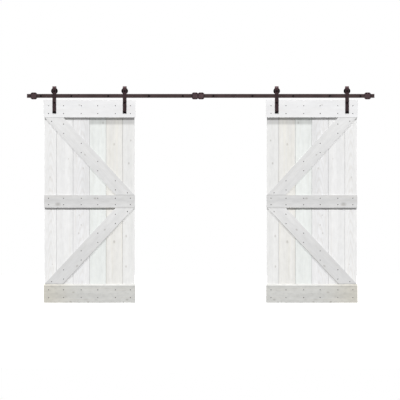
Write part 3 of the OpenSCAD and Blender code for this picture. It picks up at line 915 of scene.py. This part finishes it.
# %% [markdown]
# A piece is then a stack of such shapes, each moved to its place. Faces that meet at
# more than 32 degrees get a sharp edge between them, and the rest is shaded smooth. A
# span is what the lathe needs to know of a plain solid: where it starts and ends along
# its axle, and its radius, in millimetres.

# %% Build a piece from shapes
SHARP = math.radians(32)
Span = namedtuple("Span", "front back radius")


def build(name, shapes, body, stands_for, finish):
    """Joins shapes at their places into one piece, which replaces a drawn node."""
    points, faces = [], []
    for (spots, sheets), place in shapes:
        start = len(points)
        points += [Vector(spot) + Vector(place) for spot in spots]
        faces += [[start + k for k in sheet] for sheet in sheets]
    mesh = bpy.data.meshes.new(name)
    mesh.from_pydata(points, [], faces)
    shape = bmesh.new()
    shape.from_mesh(mesh)
    bmesh.ops.recalc_face_normals(shape, faces=shape.faces)
    for face in shape.faces:
        face.smooth = True
    for edge in shape.edges:
        edge.smooth = edge.calc_face_angle(0.0) < SHARP
    shape.to_mesh(mesh)
    shape.free()
    mesh.materials.append(finish)
    piece = bpy.data.objects.new(name, mesh)
    bpy.context.scene.collection.objects.link(piece)
    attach(piece, body)
    if stands_for:
        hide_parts(stands_for)
    return piece


def centre(low, high):
    """The middle of a box in X and Z, with Y left at the wall."""
    return Vector(((low.x + high.x) / 2, 0, (low.z + high.z) / 2))


def at_each(boxes, make):
    """Makes a shape from the span of every box, at the box's centre."""
    shapes = []
    for low, high in boxes:
        span = Span(low.y / MM, high.y / MM, (high.x - low.x) / 2 / MM)
        shapes.append((make(span), centre(low, high)))
    return shapes


print("edges stay sharp from", round(math.degrees(SHARP)), "degrees on")

# %% [markdown]
# ## Hanger bolts and nuts
# A forged bolt head has a flat front, corners cut back to a cone, and a thin round
# washer face under it. Its nut is cut back at both ends. The front of the strap says
# where a head ends and its shank begins.

# %% Hex bolts and nuts
HEX = 16
BOLT_THICK = 10
NUT_BORE = 5.2
FACE_SHARE = 0.46  # a chamfered face's radius, as a share of the width across the flats
WASHER_SHARE = 0.47
WASHER_FACE = 0.5
strap_front = strap_low.y / MM


def hex_front(front, flats):
    """A hex head's first rows: its flat face, and its corners cut back to a cone."""
    inner = flats * FACE_SHARE
    return [
        (inner * 0.93, front + 0.15),
        (inner, front),
        (hexagon(flats), chamfer(flats, inner, front)),
    ]


def hex_bolt(span):
    """A hanger's bolt: a hex head that sits on the strap, and its shank."""
    return turned([
        *hex_front(span.front, HEX),
        (hexagon(HEX), strap_front - WASHER_FACE - 0.2),
        (HEX * WASHER_SHARE, strap_front - WASHER_FACE),
        (HEX * WASHER_SHARE, strap_front),
        (BOLT_THICK / 2, strap_front),
        (BOLT_THICK / 2, span.back - 0.8),
        (BOLT_THICK / 2 - 0.8, span.back),
    ])


def hex_nut(span):
    """A nut with both faces cut back."""
    inner = HEX * FACE_SHARE
    return turned([
        (NUT_BORE, span.front + 0.6),
        (NUT_BORE + 0.6, span.front),
        (inner, span.front),
        (hexagon(HEX), chamfer(HEX, inner, span.front)),
        (hexagon(HEX), chamfer(HEX, inner, span.back, -1)),
        (inner, span.back),
        (NUT_BORE + 0.6, span.back),
        (NUT_BORE, span.back - 0.6),
    ], ring=True)


HANGER_PARTS = (
    ("strap_hex_bolts", "strap_bolts", hex_bolt),
    ("axle_hex_bolts", "axle_bolts", hex_bolt),
    ("hex_nuts", "hanger_nuts", hex_nut),
)
for door in DOORS:
    for name, part, make in HANGER_PARTS:
        node = f"{door}_{part}"
        shapes = at_each(solids(node), make)
        build(f"{door}_{name}", shapes, f"{door}_door", node, black_steel)
        print(f"{door}_{name}:", len(shapes))

# %% [markdown]
# ## Wall bolts
# The track hangs on ten lag bolts: a hex head with its own wide washer, a plain shank
# through the rail and its spacer, and a coarse wood thread in the wall behind. A thread
# is a ridge that climbs as it turns, so its radius depends on the angle and on the
# depth together.

# %% Lag bolts with real threads
LAG_FLATS = 13
PITCH = 3.2
ROWS_PER_TURN = 8
THREAD_CREST = 3.8
THREAD_ROOT = 2.8
LAG_TIP = 6
LAG_SIDES = 24
THREAD_START = 0.6
FLANGE_THICK = 1.8
FLANGE_RADIUS = 10
LAG_SHANK = 4
rail_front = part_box("rail_left")[0].y / MM


def thread_reach(depth):
    """The thread's radius round the bolt at one depth, as a function of the angle."""
    def reach(angle):
        turn = (depth / PITCH - angle / math.tau) % 1
        ridge = max(0, 1 - abs(turn - 0.5) / 0.3)
        return THREAD_ROOT + (THREAD_CREST - THREAD_ROOT) * ridge
    return reach


def lag_bolt(span):
    """A lag bolt whose washer sits on the rail and whose thread starts at the wall."""
    flange = rail_front - FLANGE_THICK
    rows = [
        *hex_front(span.front, LAG_FLATS),
        (hexagon(LAG_FLATS), flange),
        (FLANGE_RADIUS - 0.7, flange),
        (FLANGE_RADIUS, flange + 0.6),
        (FLANGE_RADIUS, rail_front),
        (LAG_SHANK, rail_front),
        (LAG_SHANK, -THREAD_START),
        (THREAD_ROOT, 0.0),
    ]
    tip = span.back - LAG_TIP
    count = round(tip / PITCH * ROWS_PER_TURN)
    for k in range(1, count):
        depth = k * tip / count
        rows.append((thread_reach(depth), depth))
    rows += [(THREAD_ROOT, tip), (THREAD_ROOT * 0.8, tip + LAG_TIP * 0.35), (0.5, span.back)]
    return turned(rows, LAG_SIDES)


shapes = at_each(solids("lag_bolts"), lag_bolt)
build("track_lag_bolts", shapes, "track", "lag_bolts", wall_bolt_skin)
turns = (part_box("lag_bolts")[1].y / MM - LAG_TIP) / PITCH
print("lag bolts:", len(shapes), "each with", round(turns, 1), "turns of thread")

# %% [markdown]
# ## Spacers, stop bolts and splice screws
# Each lag bolt goes through a turned spacer that keeps the track off the wall. The stops
# are clamped by socket head bolts, and the two rails are joined at the middle by a plate
# and four flush countersunk screws, so that the wheels roll over the joint.

# %% Small track parts
SPACER_BORE = 4.3
SPACER_EDGE = 0.7
STOP_HEAD = 5
STOP_SOCKET = 4
STOP_SHANK = 3
SPLICE_SOCKET = 4
SPLICE_SHANK = 3
plate_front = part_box("end_stop_plates")[0].y / MM


def sleeve(span, bore, edge):
    """A turned tube with its rims broken."""
    return turned([
        (bore, span.front + edge),
        (bore + edge, span.front),
        (span.radius - edge, span.front),
        (span.radius, span.front + edge),
        (span.radius, span.back - edge),
        (span.radius - edge, span.back),
        (bore + edge, span.back),
        (bore, span.back - edge),
    ], ring=True)


def wall_spacer(span):
    """The sleeve that keeps the rail off the wall."""
    return sleeve(span, SPACER_BORE, SPACER_EDGE)


def socket_bolt(span):
    """A cylinder head with a hex socket, which sits on a stop's plate, and its shank."""
    return turned([
        (hexagon(STOP_SOCKET), span.front + 2.2),
        (hexagon(STOP_SOCKET), span.front + 0.3),
        (hexagon(STOP_SOCKET + 0.6), span.front),
        (STOP_HEAD - 0.9, span.front),
        (STOP_HEAD - 0.3, span.front + 0.2),
        (STOP_HEAD, span.front + 0.8),
        (STOP_HEAD, plate_front),
        (STOP_SHANK, plate_front),
        (STOP_SHANK, span.back - 0.5),
        (STOP_SHANK - 0.5, span.back),
    ])


def flush_screw(span):
    """A countersunk screw with a hex socket, flush with the rail."""
    return turned([
        (hexagon(SPLICE_SOCKET), span.front + 2),
        (hexagon(SPLICE_SOCKET), span.front + 0.2),
        (hexagon(SPLICE_SOCKET + 0.4), span.front),
        (span.radius - 0.2, span.front),
        (SPLICE_SHANK, span.front + span.radius - SPLICE_SHANK),
        (SPLICE_SHANK, span.back - 0.4),
        (SPLICE_SHANK - 0.4, span.back),
    ])


TRACK_PARTS = (
    ("track_wall_spacers", "wall_spacers", wall_spacer),
    ("stop_socket_bolts", "stop_bolts", socket_bolt),
    ("splice_flush_screws", "splice_screws", flush_screw),
)
for name, node, make in TRACK_PARTS:
    shapes = at_each(solids(node), make)
    build(name, shapes, "track", node, black_steel)
    print(f"{name}:", len(shapes))

# %% [markdown]
# ## Nails
# The rails and braces are nailed on, two nails to a board. A nail head is a thin dome,
# struck by hand: no two are quite round or turned the same way, and some are driven a
# hair deeper. A seeded random source gives each its own shape, the same in every run,
# and both doors use the same one, because their nails match.

# %% Hammered nails
NAIL_SIDES = 18
NAIL_SHANK = 1.5
NAIL_SEED = 11


def nail(span, luck):
    """A domed nail head that is a little out of round, and its shank and point."""
    lean, wobble = luck.uniform(0, math.tau), luck.uniform(0.01, 0.05)
    top = span.front + luck.uniform(0, 0.25)
    head = span.radius

    def out_of_round(radius):
        def reach(angle):
            return radius * (1 - wobble + wobble * math.cos(2 * angle + lean))
        return reach

    return turned([
        (head * 0.3, top),
        (out_of_round(head * 0.62), top + 0.12),
        (out_of_round(head * 0.88), top + 0.36),
        (out_of_round(head), span.front + 0.72),
        (out_of_round(head * 0.97), span.front + 0.99),
        (NAIL_SHANK, span.front + 1),
        (NAIL_SHANK, span.back - 3),
        (0.3, span.back),
    ], NAIL_SIDES)


for door in DOORS:
    luck = random.Random(NAIL_SEED)
    node = f"{door}_nails"
    boxes = sorted(solids(node), key=lambda box: (round(box[0].z, 4), abs(box[0].x)))
    shapes = at_each(boxes, lambda span: nail(span, luck))
    build(f"{door}_hammered_nails", shapes, f"{door}_door", node, nail_skin)
print("nails in a door:", len(shapes))

# %% [markdown]
# ## Wheels and bearings
# A wheel is turned from black nylon, with a groove that hangs over the rail's upper
# edge, raised rims and a sunk face round its hub. A sealed ball bearing is pressed into
# it: an inner and an outer race of bright steel, with a rubber seal between. Two steel
# sleeves keep the wheel in the middle of its hanger. Each section is a list of radii and
# depths, in millimetres from the wheel's middle.

# %% Wheels, bearings and sleeves
WHEEL_SIDES = 96
RACE_SIDES = 64
SLEEVE_BORE = 5.2
SLEEVE_EDGE = 0.4
WHEEL_SECTION = (
    (13.05, -8.7), (13.35, -9.0), (26.3, -9.0), (27.0, -9.5), (27.0, -10.6), (27.4, -11.0),
    (33.6, -11.0), (34.6, -10.6), (35.0, -9.8), (35.0, -5.4), (34.7, -5.05), (31.3, -4.3),
    (31.0, -3.9), (31.0, 3.9), (31.3, 4.3), (34.7, 5.05), (35.0, 5.4), (35.0, 9.8),
    (34.6, 10.6), (33.6, 11.0), (27.4, 11.0), (27.0, 10.6), (27.0, 9.5), (26.3, 9.0),
    (11.5, 9.0), (11.0, 8.5), (11.0, 4.0), (13.05, 4.0),
)
OUTER_RACE = (
    (13.0, -3.6), (12.6, -4.0), (11.0, -4.0), (10.7, -3.7),
    (10.7, 3.7), (11.0, 4.0), (12.6, 4.0), (13.0, 3.6),
)
INNER_RACE = (
    (5.05, -3.7), (5.35, -4.0), (7.1, -4.0), (7.4, -3.7),
    (7.4, 3.7), (7.1, 4.0), (5.35, 4.0), (5.05, 3.7),
)
SEAL = (
    (7.45, -3.1), (7.8, -3.5), (8.5, -3.2), (9.6, -3.2), (10.3, -3.5), (10.65, -3.1),
    (10.65, 3.1), (10.3, 3.5), (9.6, 3.2), (8.5, 3.2), (7.8, 3.5), (7.45, 3.1),
)


def axle_sleeve(span):
    """The sleeve beside a wheel, on its axle."""
    return sleeve(span, SLEEVE_BORE, SLEEVE_EDGE)


for door in DOORS:
    for hanger in HANGERS:
        side = f"{door}_{hanger}"
        low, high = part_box(side + "_wheel")
        hub = (low + high) / 2
        body = side + "_wheel_body"
        wheel = [(turned(WHEEL_SECTION, WHEEL_SIDES, True), hub)]
        build(side + "_grooved_wheel", wheel, body, side + "_wheel", wheel_skin)
        races = [(turned(race, RACE_SIDES, True), hub) for race in (OUTER_RACE, INNER_RACE)]
        build(side + "_races", races, body, side + "_bearing", bright_steel)
        seal = [(turned(SEAL, RACE_SIDES, True), hub)]
        build(side + "_seal", seal, body, None, rubber)
    node = f"{door}_axle_sleeves"
    shapes = at_each(solids(node), axle_sleeve)
    build(f"{door}_turned_sleeves", shapes, f"{door}_door", node, bright_steel)
print("wheel diameter:", round((high.z - low.z) / MM), "mm")

# %% [markdown]
# ## Anti-jump discs
# A nylon disc on the door's top edge, behind the track, stops the door from being lifted
# off. The lathe turns about Y, so these are turned first and then stood upright.

# %% Discs and their screws
DISC_SIDES = 64
SCREW_SIDES = 24
DISC_SECTION = (
    (2.3, 0.2), (8.6, 0.0), (9.0, 0.4), (9.0, 13.6), (9.5, 14.0), (16.2, 14.0), (17.0, 14.8),
    (17.0, 19.2), (16.2, 20.0), (5.3, 20.0), (4.8, 19.5), (4.8, 17.0), (2.3, 17.0),
)


def upright(shape):
    """Stands a turned shape up, so that its axle runs along Z."""
    points, faces = shape
    return [(x, z, y) for x, y, z in points], faces


def foot_of(low, high):
    """The middle of a box's foot."""
    return Vector(((low.x + high.x) / 2, (low.y + high.y) / 2, low.z))


def disc_screw(length):
    """A pan head wood screw with a hex socket, from its point at 0 up to its head."""
    return turned([
        (0.3, 0.0),
        (2, 3.5),
        (2, length - 3),
        (4.3, length - 3),
        (4.5, length - 2.6),
        (4.3, length - 0.4),
        (3.7, length),
        (hexagon(3.4), length),
        (hexagon(3), length - 0.3),
        (hexagon(3), length - 1.8),
    ], SCREW_SIDES)


for door in DOORS:
    discs = [
        (upright(turned(DISC_SECTION, DISC_SIDES, True)), foot_of(low, high))
        for low, high in solids(f"{door}_discs")
    ]
    screws = [
        (upright(disc_screw((high.z - low.z) / MM)), foot_of(low, high))
        for low, high in solids(f"{door}_disc_screws")
    ]
    body = f"{door}_door"
    build(f"{door}_nylon_discs", discs, body, f"{door}_discs", nylon)
    name = f"{door}_disc_wood_screws"
    build(name, screws, body, f"{door}_disc_screws", bright_steel)
print("discs in a door:", len(discs))

# %% [markdown]
# ## The floor's finish
# The floor is plain and pale. A faint mottle in its roughness is all that it has.

# %% Finish the floor
FLOOR_GLOW = 0.65
material, shader, place = start_finish("pale_floor")
mottle = place.noise(2, 0.5, 3)
feed(shader, "Roughness", 0.7 + mottle * 0.2)
shader.inputs["Base Color"].default_value = (0.9, 0.9, 0.9, 1)
shader.inputs["Emission Color"].default_value = (1, 1, 1, 1)
shader.inputs["Emission Strength"].default_value = FLOOR_GLOW
shader.inputs["Specular IOR Level"].default_value = 0.1
floor_mesh.materials.append(material)
print("finishes with the floor's:", len(bpy.data.materials))

# %% [markdown]
# ## The size, drawn and shown
# The box that was drawn and the box that shows now are printed side by side, to show
# whether the looks changed the doors' size.

# %% Print the two boxes
shown_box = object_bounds()
boxes = {
    "drawn": [list(corner) for corner in drawn_box],
    "shown": [list(corner) for corner in shown_box],
}
print("drawn box:", boxes["drawn"])
print("shown box:", boxes["shown"])
